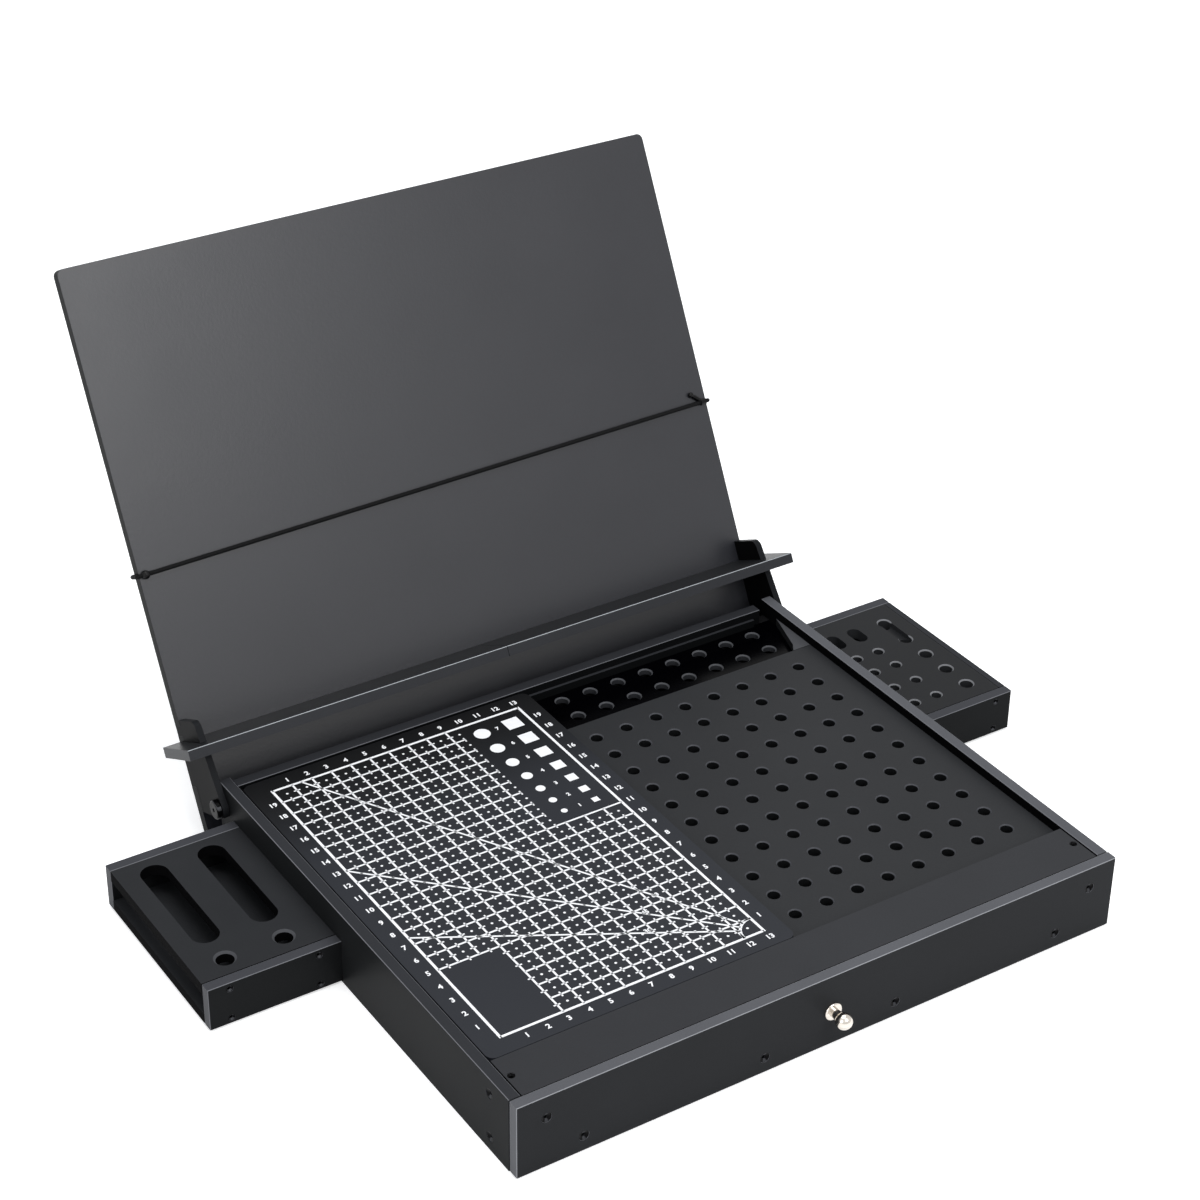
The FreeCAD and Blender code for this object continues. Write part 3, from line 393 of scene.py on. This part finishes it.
# Faint bands, for turning marks that are too fine to show. A wave texture turns by 20 radians
# in each unit, so the bands are 2 pi x 0.35 = 2.2 mm apart. They ring the frame's Y axis, which
# is 18.5 mm below the knob's own, so they cross the knob nearly level.
BAND_STEP = 0.35 * MM
WAVE_RADIANS = 20
rings = add(tree, "TexWave", {"Vector": place.outputs["Object"],
                              "Scale": 1 / BAND_STEP / WAVE_RADIANS,
                              "Distortion": 0.3}, wave_type="RINGS", rings_direction="Y")
warm = add(tree, "Mix", {0: rings.outputs["Fac"], 6: linear("#cfc8bf"), 7: linear("#d8d2ca")},
           data_type="RGBA")
tree.links.new(warm.outputs[2], surface.inputs["Base Color"])
polish = add(tree, "MapRange", {"Value": rings.outputs["Fac"], "To Min": 0.13, "To Max": 0.19})
tree.links.new(polish.outputs["Result"], surface.inputs["Roughness"])
dress(nickel, "drawer_knob")


# ---------------------------------------------------------------- screws and pins
# Steel screws with dished socket heads, black oxide finished and matt. A dish is painted paler
# where its surface turns partly up or down, a painted highlight, which on the front and sides is
# above and below the socket. The painted highlight starts, is full and ends at these upright
# parts of the normal.
GLINT_FROM = 0.34
GLINT_FULL = 0.42
DISH_LIMIT = 0.71
oxide, tree, surface, place = start_material("black_oxide_steel", Metallic=0.3,
                                             Specular_IOR_Level=0.05)
bloom = add(tree, "TexNoise", {"Vector": place.outputs["Object"], "Scale": 1 / (1.5 * MM),
                               "Detail": 3.0})
lean = add(tree, "VectorMath", {0: place.outputs["Normal"], 1: ACROSS_Z},
           operation="DOT_PRODUCT")
upright = add(tree, "Math", {0: lean.outputs["Value"]}, operation="ABSOLUTE")
sheen_ramp = add(tree, "MapRange", {"Value": upright.outputs["Value"], "From Min": GLINT_FROM,
                                "From Max": GLINT_FULL})
in_dish = add(tree, "Math", {0: upright.outputs["Value"], 1: DISH_LIMIT}, operation="LESS_THAN")
painted_glint = add(tree, "Math", {0: sheen_ramp.outputs["Result"], 1: in_dish.outputs["Value"]},
             operation="MULTIPLY")
dark = add(tree, "Mix", {0: bloom.outputs["Fac"], 6: linear("#030304"), 7: linear("#0b0b0c")},
           data_type="RGBA")
varied_sheen = add(tree, "Mix", {0: painted_glint.outputs["Value"], 6: dark.outputs[2],
                         7: linear("#3f4043")}, data_type="RGBA")
tree.links.new(varied_sheen.outputs[2], surface.inputs["Base Color"])
oiled = add(tree, "MapRange", {"Value": bloom.outputs["Fac"], "To Min": 0.3, "To Max": 0.42})
tree.links.new(oiled.outputs["Result"], surface.inputs["Roughness"])
dress(oxide, "side_panel_screws", "deck_screws", "drawer_front_screws", "knob_screw",
      "tray_left_screws", "tray_right_screws", "rear_stop_screws", "pivot_pin_left",
      "pivot_pin_right")


# ---------------------------------------------------------------- side trays
# Two shallow boxes of the same board. Their tops are drilled and slotted for hand tools. The cut
# walls are painted black in the left top, a painted shade in its holes and slots, and lighter in
# the right. The left top's face is painted lighter, a painted sheen, and the bevels and the sawn
# edges of the tray walls are painted light, a painted highlight.
dress(laminate("melamine_left_tray", ACROSS_Z, "#2c2d2f", "#4a4b4e", "#070708", gloss=0.02,
               edge_roughness=0.8),
      "tray_left_top", "tray_left_floor", "tray_right_floor")
dress(laminate("melamine_right_tray", ACROSS_Z, "#1f2022", "#747578", "#2c2d2f", gloss=0.08),
      "tray_right_top")
dress(laminate("melamine_tray_walls", ACROSS_Y, "#18191a", "#6a6b6f", "#3f4044", gloss=0.03),
      "tray_left_front", "tray_left_rear", "tray_right_front", "tray_right_rear")
dress(side_film, "tray_right_end", "tray_left_stop", "tray_right_stop")


# ---------------------------------------------------------------- reading stand
# A large board and its ledge, faced with a smoother dark grey film that mirrors soft light; the
# ledge's bevel is painted near white, a painted highlight. Two arms of black board hold it, their
# faces painted near black, partly the board's own black and partly a painted shade, and their
# bevels a painted highlight. Each half of the ledge slides in the board's groove.
BOARD_TILT = math.radians(27.5)
ACROSS_BOARD = (0.0, math.cos(BOARD_TILT), -math.sin(BOARD_TILT))
ALONG_BOARD = (0.0, math.sin(BOARD_TILT), math.cos(BOARD_TILT))
dress(laminate("satin_film_board", ACROSS_BOARD, "#1f2025", "#3a3b3e", "#101112",
               gloss=0.5, roughness=0.34, grain=0.9, grain_size=1.5, clouding=0.02),
      "reading_board")
dress(laminate("satin_film_ledge", ALONG_BOARD, "#1a1b1d", "#a4a8ac", "#2c2d30",
               gloss=0.12, roughness=0.34, grain=0.2), "ledge_left", "ledge_right")
dress(laminate("melamine_arms", ACROSS_X, "#080809", "#4a4b4e", "#1f2022", gloss=0.02),
      "stand_arm_left", "stand_arm_right", "cheek_left", "cheek_right")

# a thin matt tape closes the sawn edges all round the board
EDGING_THICKNESS = 0.05 * MM
EDGING_REACH = 3.1 * MM
EDGING_LEAN = 0.3
across_board = Vector(ACROSS_BOARD)
along_board = Vector(ALONG_BOARD)
edging = bmesh.new()
edging.from_mesh(nodes["reading_board"].data)
half_board = max(vertex.co.x for vertex in edging.verts)
heights = [vertex.co.dot(along_board) for vertex in edging.verts]
board_foot, board_top = min(heights), max(heights)


def is_taped(face):
    """Whether a face is on the board's outer edge, and not in its groove or its slots."""
    middle = face.calc_center_median()
    height = middle.dot(along_board)
    inset = min(half_board - abs(middle.x), height - board_foot, board_top - height)
    return inset < EDGING_REACH and abs(face.normal.dot(across_board)) <= EDGING_LEAN


bare = [face for face in edging.faces if not is_taped(face)]
bmesh.ops.delete(edging, geom=bare, context="FACES")
for vertex in edging.verts:
    vertex.co += vertex.normal * EDGING_THICKNESS
edging_mesh = bpy.data.meshes.new("board_edging")
edging.to_mesh(edging_mesh)
edging.free()
edging_mesh.materials.append(laminate("matt_edging_tape", ACROSS_BOARD, "#111213", "#3a3b3e",
                                      "#111213", gloss=0.02, roughness=0.6, clouding=0.03))
board_edging = set_down("board_edging", edging_mesh)
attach(board_edging, "stand")


# ---------------------------------------------------------------- elastic cord
# A 2 mm elastic: a rubber core in a braided black polyester sleeve, stretched round the
# board. A moulded bead and a peg close it near the edges.
braid, tree, surface, place = start_material("braided_polyester", Roughness=0.7,
                                             Specular_IOR_Level=0.1)
# Two sets of strands that slant opposite ways. They are typically 0.5 mm apart, too fine to
# show, so they are drawn coarser, at this pitch along the cord's run across the board.
STRAND_PITCH = 0.9 * MM
strands = []
for slant in (1.0, -1.0):
    lean = add(tree, "VectorMath", {0: place.outputs["Object"], 1: (1.0, 0.35, slant)},
               operation="DOT_PRODUCT")
    phase = add(tree, "Math", {0: lean.outputs["Value"], 1: 2 * math.pi / STRAND_PITCH},
                operation="MULTIPLY")
    strands.append(add(tree, "Math", {0: phase.outputs["Value"]}, operation="SINE"))
crossed = add(tree, "Math", {0: strands[0].outputs["Value"], 1: strands[1].outputs["Value"]},
              operation="MAXIMUM")
bump = add(tree, "Bump", {"Height": crossed.outputs["Value"], "Strength": 0.6,
                          "Distance": 0.12 * MM})
tree.links.new(bump.outputs["Normal"], surface.inputs["Normal"])
tone = add(tree, "MapRange", {"Value": crossed.outputs["Value"], "From Min": -1.0})
black = add(tree, "Mix", {0: tone.outputs["Result"], 6: linear("#030303"),
                          7: linear("#0f0f10")}, data_type="RGBA")
tree.links.new(black.outputs[2], surface.inputs["Base Color"])
dress(braid, "elastic_cord")

abs_black, tree, surface, place = start_material("moulded_abs", Specular_IOR_Level=0.15)
flow = add(tree, "TexNoise", {"Vector": place.outputs["Object"], "Scale": 1 / (2 * MM)})
deep = add(tree, "Mix", {0: flow.outputs["Fac"], 6: linear("#050506"), 7: linear("#0b0b0c")},
           data_type="RGBA")
tree.links.new(deep.outputs[2], surface.inputs["Base Color"])
sheen = add(tree, "MapRange", {"Value": flow.outputs["Fac"], "To Min": 0.2, "To Max": 0.32})
tree.links.new(sheen.outputs["Result"], surface.inputs["Roughness"])
dress(abs_black, "cord_bead", "cord_toggle")


# ---------------------------------------------------------------- studio
# A white sweep of paper under large soft lights. The paper shows white to the camera and in
# reflections, and still takes the box's shadow.
FLOOR_SIZE = 8.0
sweep = bmesh.new()
bmesh.ops.create_grid(sweep, x_segments=1, y_segments=1, size=FLOOR_SIZE / 2)
floor_mesh = bpy.data.meshes.new("floor")
sweep.to_mesh(floor_mesh)
sweep.free()
floor = set_down("floor", floor_mesh)


def seen_rays(tree):
    """1 for rays that the camera, a reflection or a clear body sees by, otherwise 0."""
    paths = add(tree, "LightPath")
    direct = add(tree, "Math", {0: paths.outputs["Is Camera Ray"],
                                1: paths.outputs["Is Glossy Ray"]}, operation="MAXIMUM")
    either = add(tree, "Math", {0: direct.outputs["Value"],
                                1: paths.outputs["Is Transmission Ray"]}, operation="MAXIMUM")
    return either.outputs["Value"]


paper, tree, surface, place = start_material("white_paper", Roughness=0.9)
surface.inputs["Base Color"].default_value = linear("#f4f4f4")
glow = add(tree, "Emission", {"Color": (1.0, 1.0, 1.0, 1.0), "Strength": 0.48})
lit = add(tree, "AddShader", {0: surface.outputs["BSDF"], 1: glow.outputs["Emission"]})
seen = add(tree, "MixShader", {0: seen_rays(tree), 1: surface.outputs["BSDF"],
                               2: lit.outputs["Shader"]})
paper_output = next(n for n in tree.nodes if n.type == "OUTPUT_MATERIAL")
tree.links.new(seen.outputs["Shader"], paper_output.inputs["Surface"])
floor_mesh.materials.append(paper)

world = bpy.data.worlds.new("studio")
bpy.context.scene.world = world
world.use_nodes = True
tree = world.node_tree
tree.nodes.clear()
soft = add(tree, "Background", {"Color": (0.93, 0.96, 1.0, 1.0), "Strength": 0.55})
white = add(tree, "Background", {"Color": (1.0, 1.0, 1.0, 1.0), "Strength": 1.0})
seen = add(tree, "MixShader", {0: seen_rays(tree), 1: soft.outputs["Background"],
                               2: white.outputs["Background"]})
add(tree, "OutputWorld", {"Surface": seen.outputs["Shader"]})


def softbox(name, place_at, aim_at, width, height, power):
    """A rectangular lamp, turned to face a point."""
    lamp = bpy.data.lights.new(name, "AREA")
    lamp.shape = "RECTANGLE"
    lamp.size = width
    lamp.size_y = height
    lamp.energy = power
    holder = set_down(name, lamp)
    holder.location = place_at
    facing = Vector(aim_at) - Vector(place_at)
    holder.rotation_euler = facing.to_track_quat("-Z", "Y").to_euler()


softbox("overhead", (-0.1, 0.1, 1.6), (0.0, 0.0, 0.0), 1.4, 1.1, 14.0)
softbox("front", (0.2, -1.3, 1.25), (0.0, 0.17, 0.14), 0.8, 0.8, 12.0)
softbox("left", (-1.5, -0.6, 0.8), (0.0, 0.0, 0.05), 0.8, 1.0, 6.0)

# the camera stands to the left and above, and its long lens keeps the lines nearly parallel
CAMERA_PLACE = Vector((-0.57951, -0.83661, 0.77189))
CAMERA_TURN = math.radians(-33.128)
CAMERA_HEIGHT_ANGLE = math.radians(31.393)
CAMERA_ROLL = math.radians(0.753)
FRAME_PIXELS = 1200
FOCAL_PIXELS = 2801.19
SENSOR = 36.0
camera_data = bpy.data.cameras.new("camera")
camera_data.sensor_width = SENSOR
camera_data.lens = FOCAL_PIXELS / FRAME_PIXELS * SENSOR
camera = set_down("camera", camera_data)
aim = Matrix.Rotation(CAMERA_TURN, 4, "Z")
aim = aim @ Matrix.Rotation(math.pi / 2 - CAMERA_HEIGHT_ANGLE, 4, "X")
aim = aim @ Matrix.Rotation(CAMERA_ROLL, 4, "Z")
camera.matrix_world = Matrix.Translation(CAMERA_PLACE) @ aim
bpy.context.scene.camera = camera
bpy.context.scene.view_settings.view_transform = "Standard"
